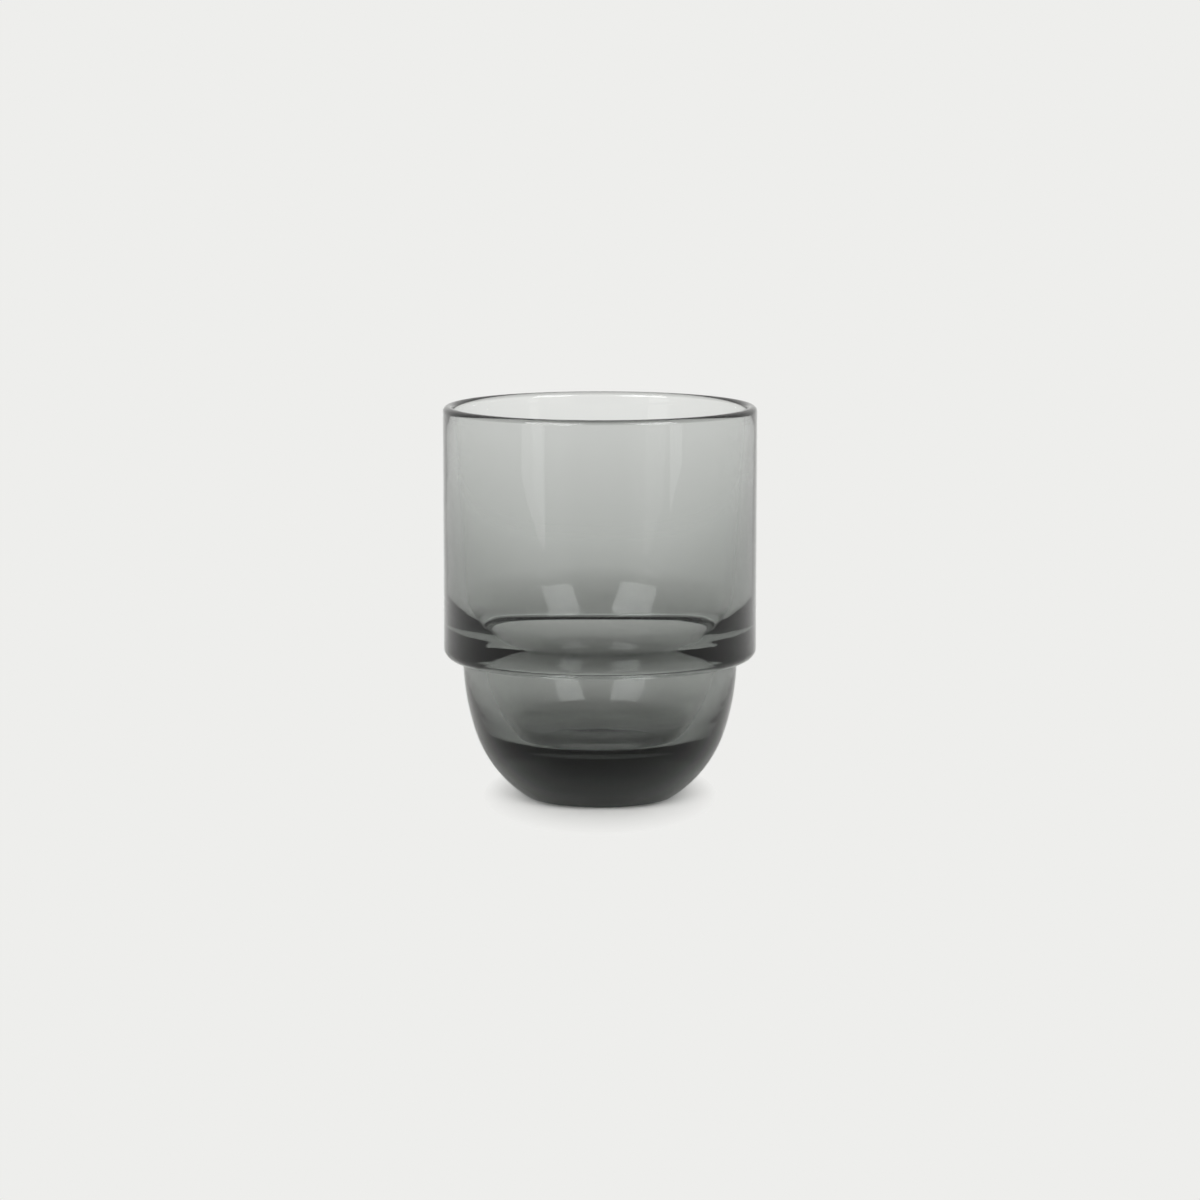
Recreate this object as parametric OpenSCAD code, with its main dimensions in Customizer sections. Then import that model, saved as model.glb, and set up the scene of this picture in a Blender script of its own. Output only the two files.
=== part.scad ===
// Stackable cortado tumbler of smoke-grey pressed glass: a straight upper wall, a rounded
// shoulder, and a narrower foot bowl that drops into the mouth of the next tumbler.
// Lengths are in millimetres and angles in degrees. The tumbler stands on z = 0, with its axis on +Z.

/* [Overall] */
// Outer diameter of the straight upper wall
body_d = 64; // [58:0.5:70]
// Height from the table to the top of the rim
body_h = 80.2; // [74:0.2:88]

/* [Rim and upper wall] */
// Thickness of the wall at the half-round rim
rim_t = 2.3; // [2:0.1:2.8]
// Lean of the inner wall, which thickens the glass towards the shoulder
wall_draft = 3.4; // [3:0.1:3.8]

/* [Shoulder] */
// Height of the line where the shoulder's underside meets the foot bowl
shoulder_z = 28.2; // [26:0.2:31]
// Width of the shoulder's ledge, from the foot bowl out to the wall
shoulder_w = 3.92; // [3.4:0.02:4.6]
// Angle at which the underside rises outwards
shoulder_rise = 8.5; // [4:0.5:12]
// Radius of the shoulder's outer corner
shoulder_round = 2.3; // [1.5:0.1:3]

/* [Foot bowl] */
// Diameter of the line where the bowl's curve would meet the table
base_d = 30.8; // [28:0.2:34]
// Radius of the small edge round between the bowl and the table face
base_round = 0.5; // [0.3:0.1:1]
// Radius of the bowl's long upper side
side_r = 49.2; // [44:0.2:54]
// Lean of the bowl's side at the shoulder
side_top_lean = 0.7; // [0:0.1:3]
// Lean of the bowl's side where it turns in to the base
side_end_lean = 18.4; // [15:0.2:21]

/* [Inside] */
// Height above the shoulder line at which the inner wall starts to curve in
step_above = 13.8; // [12:0.2:16]
// Radius of the hollow curve at the top of the inner step
step_hollow_r = 21.5; // [17:0.5:26]
// Radius of the rounded lip at the bottom of the inner step
step_lip_r = 11.5; // [8:0.5:14]
// Thickness of the glass between the bowl's neck and the bottom of the inner step
neck_t = 4.4; // [3.8:0.1:5]
// Lean of the bowl's inner wall at its top
well_lean = 2; // [1:0.5:4]
// Radius of the bowl's inner wall, top to bottom
well_side_r = 30; // [26:1:36]
// Radius of the corner between the inner wall and the floor
well_corner_r = 6.5; // [5:0.5:8]
// Radius of the dished floor
floor_r = 70; // [58:1:90]
// Thickness of the solid glass under the middle of the floor
floor_t = 9.7; // [8.5:0.1:11.5]

/* [Hidden] */
// Steps in a full circle
$fn = 180;
// How far each tighter curve stands proud of its neighbours, so that their edges cross
seam = 0.001;
// How far hidden edges are kept inside a shape, or carried past it
lap = 1;

wall_r = body_d / 2 - seam;
base_r = base_d / 2;
neck_r = wall_r - shoulder_w;

// Foot bowl: the long side ends at side_end, and the base curve that carries on from it is
// the one circle that leaves there in line with the side and passes through the base line.
side_mid = [neck_r - side_r * cos(side_top_lean), shoulder_z + side_r * sin(side_top_lean)];
side_inward = [-cos(side_end_lean), sin(side_end_lean)];
side_end = side_mid - side_r * side_inward;
to_base = [base_r, 0] - side_end;
curve_r = to_base * to_base / (2 * side_inward * to_base);
curve_mid = side_end + curve_r * side_inward;
flat_r = curve_mid.x + sqrt(pow(curve_r - base_round, 2) - pow(curve_mid.y - base_round, 2));
base_lean = atan2(curve_mid.y - base_round, flat_r - curve_mid.x);

// Shoulder: straight underside, corner round, straight wall up to the rim.
corner_cut = shoulder_round * tan((90 - shoulder_rise) / 2);
wall_z = shoulder_z + shoulder_w * tan(shoulder_rise) + corner_cut;
shoulder_mid = [wall_r - shoulder_round, wall_z];
ledge_end = shoulder_mid + shoulder_round * [sin(shoulder_rise), -cos(shoulder_rise)];

// Half-round rim, and the inner wall that leaves it down to the step.
rim_r = rim_t / 2;
rim_mid = [wall_r - rim_r, body_h - seam - rim_r];
mouth = rim_mid + rim_r * [-cos(wall_draft), sin(wall_draft)];
step_z = shoulder_z + step_above;
step_r = mouth.x - (mouth.y - step_z) * tan(wall_draft);

// Inner step: a hollow curve and a lip that together carry the wall in from step_r to well_r.
well_r = neck_r - neck_t;
step_lean = acos(
    (step_hollow_r * cos(wall_draft) + step_lip_r * cos(well_lean) - step_r + well_r)
    / (step_hollow_r + step_lip_r)
);
hollow_mid = [step_r - step_hollow_r * cos(wall_draft), step_z + step_hollow_r * sin(wall_draft)];
step_out = [cos(step_lean), -sin(step_lean)];
hollow_end = hollow_mid + step_hollow_r * step_out;
lip_mid = hollow_end + step_lip_r * step_out;
well_z = lip_mid.y + step_lip_r * sin(well_lean);

// Inner bowl: the corner round touches both the side's circle and the floor's circle.
well_mid = [well_r - well_side_r * cos(well_lean), well_z + well_side_r * sin(well_lean)];
floor_mid = [0, floor_t + floor_r];
mids = floor_mid - well_mid;
mids_l = norm(mids);
side_reach = well_side_r - well_corner_r;
floor_reach = floor_r - well_corner_r;
mids_along = (pow(side_reach, 2) - pow(floor_reach, 2) + pow(mids_l, 2)) / (2 * mids_l);
mids_across = sqrt(pow(side_reach, 2) - pow(mids_along, 2));
corner_mid = well_mid + (mids_along * mids + mids_across * [mids.y, -mids.x]) / mids_l;
corner_top_lean = atan2(well_mid.y - corner_mid.y, corner_mid.x - well_mid.x);
corner_end_lean = atan2(floor_mid.y - corner_mid.y, corner_mid.x);

module disc(mid, r) {
    translate(mid) circle(r);
}

// The part of a disc between two directions seen from its middle
module pie(mid, r, from, to) {
    translate(mid) intersection() {
        circle(r);
        polygon([
            [0, 0],
            2 * r * [cos(from), sin(from)],
            2 * r * [cos((from + to) / 2), sin((from + to) / 2)],
            2 * r * [cos(to), sin(to)]
        ]);
    }
}

// Half section of the tumbler as if it were solid
module outside() {
    polygon([
        [0, 0],
        [flat_r, 0],
        [neck_r - lap, shoulder_z - lap * tan(shoulder_rise)],
        ledge_end,
        [wall_r, wall_z],
        [wall_r, rim_mid.y],
        mouth,
        [0, mouth.y]
    ]);
    disc([flat_r, base_round], base_round + 2 * seam);
    pie(curve_mid, curve_r + seam, -base_lean, 0);
    pie(side_mid, side_r, -side_end_lean, side_end_lean);
    disc(shoulder_mid, shoulder_round + seam);
    disc(rim_mid, rim_r + seam);
}

// Half section of the hollow, open upwards past the rim
module hollow() {
    difference() {
        union() {
            polygon([
                [0, body_h + lap],
                [mouth.x + (body_h + lap - mouth.y) * tan(wall_draft), body_h + lap],
                [step_r, step_z],
                hollow_end,
                [well_r, well_z],
                [0, well_z]
            ]);
            disc(hollow_mid, step_hollow_r + seam);
            pie(well_mid, well_side_r, -corner_top_lean, corner_top_lean);
            disc(corner_mid, well_corner_r + seam);
            pie(floor_mid, floor_r, corner_end_lean - 180, -corner_end_lean);
        }
        disc(lip_mid, step_lip_r + seam);
    }
}

module glass() {
    color([0.33, 0.34, 0.34, 0.55])
    rotate_extrude()
    intersection() {
        square([body_d, body_h + lap]);
        difference() {
            outside();
            hollow();
        }
    }
}

glass();
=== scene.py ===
import math

import bpy
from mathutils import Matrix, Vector


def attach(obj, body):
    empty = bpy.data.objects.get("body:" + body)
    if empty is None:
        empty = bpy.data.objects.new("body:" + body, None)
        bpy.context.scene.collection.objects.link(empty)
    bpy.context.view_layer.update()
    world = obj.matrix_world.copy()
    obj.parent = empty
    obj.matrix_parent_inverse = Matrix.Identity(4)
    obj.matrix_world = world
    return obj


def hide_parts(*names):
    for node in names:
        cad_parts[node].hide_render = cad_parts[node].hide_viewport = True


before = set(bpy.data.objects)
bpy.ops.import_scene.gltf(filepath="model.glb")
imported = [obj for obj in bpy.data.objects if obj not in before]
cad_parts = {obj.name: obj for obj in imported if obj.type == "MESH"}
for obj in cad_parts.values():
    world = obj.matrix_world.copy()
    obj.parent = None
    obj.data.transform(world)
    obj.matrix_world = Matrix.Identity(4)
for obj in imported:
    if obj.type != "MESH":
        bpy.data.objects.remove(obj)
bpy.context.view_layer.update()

# Tumbler: one gob of smoke-grey soda-lime glass, pressed between a mould and a plunger and then
# fire-polished, so it is a single piece without joints. The half section is drawn from one vertex,
# stretch by stretch from under the base, over the rim and down to the floor, and spun about the axis.
mm = 0.001

# Sizes are in millimetres and leans in degrees. Wall and rim stay a hair inside the faceted solid.
wall_r = 31.98
height = 80.19
rim_t = 2.3
wall_draft = 3.4

shoulder_z = 28.2
shoulder_w = 3.92
shoulder_rise = 8.5
shoulder_round = 2.3

base_r = 15.4
base_round = 0.5
side_r = 49.2
side_top_lean = 0.7
side_end_lean = 18.4

step_above = 13.8
hollow_r = 21.5
lip_r = 11.5
neck_t = 4.4
well_lean = 2.0
well_side_r = 30.0
well_corner_r = 6.5
floor_r = 70.0
floor_t = 9.7


def toward(lean, length):
    """Step of that length in the half section, at an angle up from straight outwards."""
    return Vector((length * math.cos(math.radians(lean)), length * math.sin(math.radians(lean))))


# Foot bowl: the long side, and the one circle that carries it on in line to the base.
neck_r = wall_r - shoulder_w
side_mid = Vector((neck_r, shoulder_z)) - toward(-side_top_lean, side_r)
side_end = side_mid + toward(-side_end_lean, side_r)
to_base = Vector((base_r, 0)) - side_end
curve_r = to_base.length_squared / (2 * to_base.dot(toward(180 - side_end_lean, 1)))
curve_mid = side_end - toward(-side_end_lean, curve_r)
flat_r = curve_mid.x + math.sqrt((curve_r - base_round) ** 2 - (curve_mid.y - base_round) ** 2)
base_lean = math.degrees(math.atan2(curve_mid.y - base_round, flat_r - curve_mid.x))

# Shoulder and half-round rim.
corner_cut = shoulder_round * math.tan(math.radians((90 - shoulder_rise) / 2))
shoulder_mid = Vector((
    wall_r - shoulder_round,
    shoulder_z + shoulder_w * math.tan(math.radians(shoulder_rise)) + corner_cut,
))
ledge_end = shoulder_mid + toward(shoulder_rise - 90, shoulder_round)
rim_r = rim_t / 2
rim_mid = Vector((wall_r - rim_r, height - rim_r))
mouth = rim_mid + toward(180 - wall_draft, rim_r)

# Inner step: a hollow curve, and a lip that turns it back down into the bowl.
step_z = shoulder_z + step_above
step_r = mouth.x - (mouth.y - step_z) * math.tan(math.radians(wall_draft))
well_r = neck_r - neck_t
hollow_mid = Vector((step_r, step_z)) - toward(-wall_draft, hollow_r)
step_lean = math.degrees(math.acos(
    (
        hollow_r * math.cos(math.radians(wall_draft)) + lip_r * math.cos(math.radians(well_lean))
        - step_r + well_r
    ) / (hollow_r + lip_r)
))
lip_mid = hollow_mid + toward(-step_lean, hollow_r + lip_r)

# Inner bowl: its corner round touches both the side's circle and the floor's.
well_mid = lip_mid - toward(-well_lean, lip_r + well_side_r)
floor_mid = Vector((0, floor_t + floor_r))
mids = floor_mid - well_mid
side_reach = well_side_r - well_corner_r
floor_reach = floor_r - well_corner_r
along = (side_reach ** 2 - floor_reach ** 2 + mids.length_squared) / (2 * mids.length)
across = math.sqrt(side_reach ** 2 - along ** 2)
corner_mid = well_mid + (along * mids + across * Vector((mids.y, -mids.x))) / mids.length
corner_top = math.degrees(math.atan2(well_mid.y - corner_mid.y, corner_mid.x - well_mid.x))
corner_end = math.degrees(math.atan2(floor_mid.y - corner_mid.y, corner_mid.x))

bpy.ops.object.select_all(action="DESELECT")
bpy.ops.mesh.primitive_plane_add(size=mm)
tumbler = bpy.context.object
tumbler.name = "tumbler"
bpy.ops.object.mode_set(mode="EDIT")
bpy.ops.mesh.select_all(action="SELECT")
bpy.ops.mesh.merge(type="CENTER")


def straight(start, end, cuts):
    """Extrudes the section's last vertex along a straight stretch."""
    move = (end - start) * mm / cuts
    for _ in range(cuts):
        bpy.ops.mesh.extrude_region_move(TRANSFORM_OT_translate={"value": (move.x, 0, move.y)})


def bend(mid, start, end, cuts):
    """Spins the section's last vertex round a curve's middle, between two angles."""
    bpy.ops.mesh.spin(
        steps=cuts, angle=math.radians(end - start), center=(mid.x * mm, 0, mid.y * mm), axis=(0, 1, 0),
    )


straight(Vector((0, 0)), Vector((flat_r, 0)), cuts=6)
bend(Vector((flat_r, base_round)), -90, -base_lean, cuts=8)
bend(curve_mid, -base_lean, -side_end_lean, cuts=42)
bend(side_mid, -side_end_lean, -side_top_lean, cuts=22)
straight(Vector((neck_r, shoulder_z)), ledge_end, cuts=3)
bend(shoulder_mid, shoulder_rise - 90, 0, cuts=20)
straight(Vector((wall_r, shoulder_mid.y)), Vector((wall_r, rim_mid.y)), cuts=16)
bend(rim_mid, 0, 180 - wall_draft, cuts=40)
straight(mouth, Vector((step_r, step_z)), cuts=14)
bend(hollow_mid, -wall_draft, -step_lean, cuts=30)
bend(lip_mid, 180 - step_lean, 180 - well_lean, cuts=24)
bend(well_mid, -well_lean, -corner_top, cuts=18)
bend(corner_mid, -corner_top, -corner_end, cuts=28)
bend(floor_mid, -corner_end, -90, cuts=18)

turn_steps = 288
weld_gap = 0.002
crease_angle = 40
bpy.ops.mesh.select_all(action="SELECT")
bpy.ops.mesh.spin(steps=turn_steps, angle=math.tau, center=(0, 0, 0), axis=(0, 0, 1))
bpy.ops.mesh.select_all(action="SELECT")
bpy.ops.mesh.remove_doubles(threshold=weld_gap * mm)
bpy.ops.mesh.normals_make_consistent(inside=False)
bpy.ops.object.mode_set(mode="OBJECT")
bpy.ops.object.shade_smooth_by_angle(angle=math.radians(crease_angle))


def colour(hex_code):
    """Linear colour from an sRGB hex code."""
    parts = [int(hex_code[i:i + 2], 16) / 255 for i in (1, 3, 5)]
    return tuple(c / 12.92 if c <= 0.04045 else ((c + 0.055) / 1.055) ** 2.4 for c in parts) + (1.0,)


def add(tree, kind, links=(), **settings):
    """Adds a node, sets its properties and sockets by name, and links or sets the sockets listed."""
    node = tree.nodes.new(kind)
    for name, value in settings.items():
        if hasattr(node, name):
            setattr(node, name, value)
        else:
            node.inputs[name.replace("_", " ")].default_value = value
    for socket, source in links:
        if isinstance(source, bpy.types.NodeSocket):
            tree.links.new(source, node.inputs[socket])
        else:
            node.inputs[socket].default_value = source
    return node


# Smoke-grey soda-lime glass: clear and glossy, grey only by its depth, so the thin wall is pale and
# the solid base nearly black. Pressing leaves it faintly wavy all over, and the plunger leaves finer,
# flatter ripples in the bowl and on the inner step. Seen straight on it mirrors half as much as bare
# glass, which keeps the base dark.
wave_size = 14 * mm
wave_depth = 0.035 * mm
ripple_width = 7 * mm
ripple_height = 2.4 * mm
ripple_depth = 0.06 * mm

# From the floor to the step, the plunger's side lies inside an upright egg round the axis, and the
# mould's side outside it.
egg_z = 40 * mm
egg_share = 0.6
egg_outer = 28.3 * mm
egg_inner = 26.7 * mm

# Heights in millimetres at which the ripples fade in and out, first in the bowl, then on the step.
ripple_span = 50
ripple_stops = (
    (12, 0.0), (15, 1.0), (24, 1.0), (28, 0.0),
    (31, 0.0), (33, 1.0), (37, 1.0), (39.5, 0.0),
)

smoke_glass = bpy.data.materials.new("smoke_grey_soda_lime_glass")
smoke_glass.use_nodes = True
tree = smoke_glass.node_tree
tree.nodes.clear()
place = add(tree, "ShaderNodeTexCoord")
wave = add(
    tree, "ShaderNodeTexNoise", [("Vector", place.outputs["Object"])], Scale=1 / wave_size, Detail=1.0,
)
egg_place = add(
    tree, "ShaderNodeMapping", [("Vector", place.outputs["Object"])],
    Location=(0, 0, -egg_share * egg_z), Scale=(1.0, 1.0, egg_share),
)
egg_reach = add(tree, "ShaderNodeVectorMath", [("Vector", egg_place.outputs["Vector"])], operation="LENGTH")
inside = add(
    tree, "ShaderNodeMapRange", [("Value", egg_reach.outputs["Value"])],
    interpolation_type="SMOOTHSTEP", From_Min=egg_outer, From_Max=egg_inner,
)
axes = add(tree, "ShaderNodeSeparateXYZ", [("Vector", place.outputs["Object"])])
level = add(tree, "ShaderNodeMapRange", [("Value", axes.outputs["Z"])], From_Max=ripple_span * mm)
pressed = add(tree, "ShaderNodeValToRGB", [("Fac", level.outputs["Result"])])
pressed.color_ramp.elements.remove(pressed.color_ramp.elements[1])
for z, share in ripple_stops:
    pressed.color_ramp.elements.new(z / ripple_span).color = (share, share, share, 1.0)
ripple_place = add(
    tree, "ShaderNodeMapping", [("Vector", place.outputs["Object"])],
    Scale=(1 / ripple_width, 1 / ripple_width, 1 / ripple_height),
)
ripple = add(tree, "ShaderNodeTexNoise", [("Vector", ripple_place.outputs["Vector"])], Scale=1.0, Detail=1.0)
ripple_inside = add(
    tree, "ShaderNodeMath", [(0, ripple.outputs["Fac"]), (1, inside.outputs["Result"])],
    operation="MULTIPLY",
)
ripple_pressed = add(
    tree, "ShaderNodeMath", [(0, ripple_inside.outputs[0]), (1, pressed.outputs["Color"])],
    operation="MULTIPLY",
)
wavy = add(tree, "ShaderNodeBump", [("Height", wave.outputs["Fac"])], Strength=1.0, Distance=wave_depth)
rippled = add(
    tree, "ShaderNodeBump", [("Height", ripple_pressed.outputs[0]), ("Normal", wavy.outputs["Normal"])],
    Strength=1.0, Distance=ripple_depth,
)
body = add(
    tree, "ShaderNodeBsdfPrincipled", [("Normal", rippled.outputs["Normal"])],
    Base_Color=colour("#ffffff"), Roughness=0.0, IOR=1.52, Specular_Tint=colour("#bcbcbc"),
    Transmission_Weight=1.0,
)
smoke = add(tree, "ShaderNodeVolumeAbsorption", Color=colour("#003a1c"), Density=106.0)
add(
    tree, "ShaderNodeOutputMaterial",
    [("Surface", body.outputs["BSDF"]), ("Volume", smoke.outputs["Volume"])],
)
tumbler.data.materials.append(smoke_glass)
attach(tumbler, "root")
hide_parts("glass")

# Sweep: the sheet of white paper that the tumbler stands on, laid flat and cut just in front of the
# picture. It keeps the tumbler's shadow close round the base, and turns into the backdrop's own white
# from there for the camera, and further out, by distance, for the glass. Nearer in, the glass sees painted
# light on it: a share of glowing white that lightens the paper's shade under and behind the tumbler.
backdrop = colour("#eeeeec")
paper_size = 6.0
paper_front = -340 * mm
paper_drop = 0.05 * mm
bpy.ops.object.select_all(action="DESELECT")
bpy.ops.mesh.primitive_plane_add(size=paper_size, location=(0, paper_size / 2 + paper_front, -paper_drop))
sweep = bpy.context.object
sweep.name = "sweep"
bpy.ops.object.transform_apply(location=True, rotation=False, scale=True)

# White paper: matt and even. For the camera, its shadow fades between two ovals, longer front to back.
shadow_full = 12 * mm
shadow_end = 24 * mm
shadow_share = 0.58

# Painted light seen only by the glass: share of the backdrop's white laid over the lit paper, by distance
# in millimetres from the axis. Under and behind the tumbler it paints the paper's shadow lighter, in uneven
# steps.
white_span = 300
painted_light_first = 0.12
painted_light_stops = (
    (20, 0.12), (32, 0.02), (50, 0.0), (80, 0.22),
    (115, 0.19), (176, 0.44), (258, 0.92), (290, 1.0),
)
# Painted glow: how much brighter than the backdrop the glass sees the paper's white.
painted_glow_gain = 0.15

paper = bpy.data.materials.new("white_paper")
paper.use_nodes = True
tree = paper.node_tree
tree.nodes.clear()
place = add(tree, "ShaderNodeTexCoord")
ray = add(tree, "ShaderNodeLightPath")
oval_place = add(
    tree, "ShaderNodeMapping", [("Vector", place.outputs["Object"])], Scale=(1.0, shadow_share, 1.0),
)
oval_reach = add(
    tree, "ShaderNodeVectorMath", [("Vector", oval_place.outputs["Vector"])], operation="LENGTH",
)
clean = add(
    tree, "ShaderNodeMapRange", [("Value", oval_reach.outputs["Value"])],
    From_Min=shadow_full, From_Max=shadow_end,
)
to_camera = add(
    tree, "ShaderNodeMath", [(0, clean.outputs["Result"]), (1, ray.outputs["Is Camera Ray"])],
    operation="MULTIPLY",
)
reach = add(tree, "ShaderNodeVectorMath", [("Vector", place.outputs["Object"])], operation="LENGTH")
far = add(tree, "ShaderNodeMapRange", [("Value", reach.outputs["Value"])], From_Max=white_span * mm)
# Painted light for the glass: this ramp lightens the paper's shade under and behind the tumbler by distance.
painted_light_ramp = add(tree, "ShaderNodeValToRGB", [("Fac", far.outputs["Result"])])
painted_light_ramp.color_ramp.interpolation = "CARDINAL"
painted_light_ramp.color_ramp.elements.remove(painted_light_ramp.color_ramp.elements[1])
painted_light_ramp.color_ramp.elements[0].color = (painted_light_first, painted_light_first, painted_light_first, 1.0)
for out, share in painted_light_stops:
    painted_light_ramp.color_ramp.elements.new(out / white_span).color = (share, share, share, 1.0)
by_glass = add(
    tree, "ShaderNodeMath", [(0, ray.outputs["Is Glossy Ray"]), (1, ray.outputs["Is Transmission Ray"])],
    operation="MAXIMUM",
)
to_glass = add(
    tree, "ShaderNodeMath", [(0, painted_light_ramp.outputs["Color"]), (1, by_glass.outputs[0])], operation="MULTIPLY",
)
white_share = add(
    tree, "ShaderNodeMath", [(0, to_camera.outputs[0]), (1, to_glass.outputs[0])], operation="MAXIMUM",
)
# Painted glow: to reflections and passing rays the paper's white shines brighter than the backdrop.
glow = add(
    tree, "ShaderNodeMath", [(0, by_glass.outputs[0]), (1, painted_glow_gain), (2, 1.0)], operation="MULTIPLY_ADD",
)
lit = add(tree, "ShaderNodeBsdfDiffuse", Color=colour("#f0f0ee"))
white = add(tree, "ShaderNodeEmission", [("Strength", glow.outputs[0])], Color=backdrop)
mixed = add(
    tree, "ShaderNodeMixShader",
    [(0, white_share.outputs[0]), (1, lit.outputs["BSDF"]), (2, white.outputs["Emission"])],
)
add(tree, "ShaderNodeOutputMaterial", [("Surface", mixed.outputs["Shader"])])
sweep.data.materials.append(paper)

# Room: a white studio, as bright as the backdrop all round, and a plain soft fill for the paper. For the
# glass alone, a low and narrow band of it is dim: straight behind for light that passes through the
# glass, which draws the dark ring, and straight in front for reflections, which leaves the base dark.
# The band's sizes are shares of a view's direction, each with the end of its soft edge.
band_side = 0.25
band_side_end = 0.5
band_top = 0.08
band_top_end = 0.22
band_turn = 0.1

world = bpy.data.worlds.new("room")
bpy.context.scene.world = world
world.use_nodes = True
tree = world.node_tree
tree.nodes.clear()
ray = add(tree, "ShaderNodeLightPath")
white = add(tree, "ShaderNodeBackground", Color=backdrop, Strength=1.0)
dim = add(tree, "ShaderNodeBackground", Color=colour("#6e6e6d"), Strength=1.0)
fill = add(tree, "ShaderNodeBackground", Color=colour("#a6a6a5"), Strength=1.0)
place = add(tree, "ShaderNodeTexCoord")
axes = add(tree, "ShaderNodeSeparateXYZ", [("Vector", place.outputs["Generated"])])
sideways = add(tree, "ShaderNodeMath", [(0, axes.outputs["X"])], operation="ABSOLUTE")
aside = add(
    tree, "ShaderNodeMapRange", [("Value", sideways.outputs[0])],
    interpolation_type="SMOOTHSTEP", From_Min=band_side, From_Max=band_side_end,
)
above = add(
    tree, "ShaderNodeMapRange", [("Value", axes.outputs["Z"])],
    interpolation_type="SMOOTHSTEP", From_Min=band_top, From_Max=band_top_end,
)
outside = add(
    tree, "ShaderNodeMath", [(0, aside.outputs["Result"]), (1, above.outputs["Result"])],
    operation="MAXIMUM",
)

# From -1 behind to 0 in front, and a passing ray adds 1: what is left is 1 where the band stays white.
in_front = add(
    tree, "ShaderNodeMapRange", [("Value", axes.outputs["Y"])], interpolation_type="SMOOTHSTEP",
    From_Min=band_turn, From_Max=-band_turn, To_Min=-1.0, To_Max=0.0,
)
turned = add(
    tree, "ShaderNodeMath", [(0, in_front.outputs["Result"]), (1, ray.outputs["Is Transmission Ray"])],
    operation="ADD",
)
other_way = add(tree, "ShaderNodeMath", [(0, turned.outputs[0])], operation="ABSOLUTE")
white_to_glass = add(
    tree, "ShaderNodeMath", [(0, outside.outputs[0]), (1, other_way.outputs[0])], operation="MAXIMUM",
)
white_share = add(
    tree, "ShaderNodeMath", [(0, white_to_glass.outputs[0]), (1, ray.outputs["Is Camera Ray"])],
    operation="MAXIMUM",
)
view = add(
    tree, "ShaderNodeMixShader",
    [(0, white_share.outputs[0]), (1, dim.outputs["Background"]), (2, white.outputs["Background"])],
)
by_paper = add(tree, "ShaderNodeMath", [(0, ray.outputs["Diffuse Depth"]), (1, 1.0)], operation="MINIMUM")
light = add(
    tree, "ShaderNodeMixShader",
    [(0, by_paper.outputs[0]), (1, view.outputs["Shader"]), (2, fill.outputs["Background"])],
)
add(tree, "ShaderNodeOutputWorld", [("Surface", light.outputs["Shader"])])

# Lamps: five soft boxes round the tumbler, out of the picture. The key above the camera lights the paper
# and stays out of the glass. The others leave the paper alone: two boxes give the window-like highlights
# inside the glass, and two low strips past the paper's front give the upright sheen on its wall.
lamp_distance = 1.2
lamp_aim = Vector((0, 0, 45 * mm))


def softbox(name, azimuth, elevation, size, glow):
    """Adds a soft box facing the tumbler, at an angle round from the camera's side and a brightness."""
    a, e = math.radians(azimuth), math.radians(elevation)
    out = Vector((math.sin(a) * math.cos(e), -math.cos(a) * math.cos(e), math.sin(e)))
    bpy.ops.object.light_add(type="AREA", location=lamp_aim + out * lamp_distance)
    lamp = bpy.context.object
    lamp.name = name
    lamp.rotation_euler = out.to_track_quat("Z", "Y").to_euler()
    lamp.data.shape = "RECTANGLE"
    lamp.data.size, lamp.data.size_y = size
    lamp.data.energy = glow * math.pi * size[0] * size[1]
    lamp.visible_camera = False
    return lamp


key = softbox("key", azimuth=0, elevation=46, size=(0.8, 0.6), glow=6.2)
key.visible_glossy = False
key.visible_transmission = False
for lamp in (
    softbox("softbox_left", azimuth=-38, elevation=32, size=(0.8, 0.75), glow=10.0),
    softbox("softbox_right", azimuth=43, elevation=32, size=(0.65, 0.75), glow=10.0),
    softbox("strip_left", azimuth=-49, elevation=-6, size=(0.38, 0.5), glow=1.7),
    softbox("strip_right", azimuth=56, elevation=-6, size=(0.2, 0.5), glow=1.7),
):
    lamp.visible_diffuse = False

# Camera: at the photograph's viewing angle, looking down a little on to the rim.
tilt = math.radians(8.31)
distance = 800 * mm
aim_z = 40.18 * mm
bpy.ops.object.camera_add(
    location=(0, -distance * math.cos(tilt), aim_z + distance * math.sin(tilt)),
    rotation=(math.pi / 2 - tilt, 0, 0),
)
camera = bpy.context.object
camera.data.sensor_width = 36
camera.data.lens = 117.24
camera.data.clip_start = 0.01
camera.data.clip_end = 50
bpy.context.scene.camera = camera
bpy.context.scene.view_settings.view_transform = "Standard"
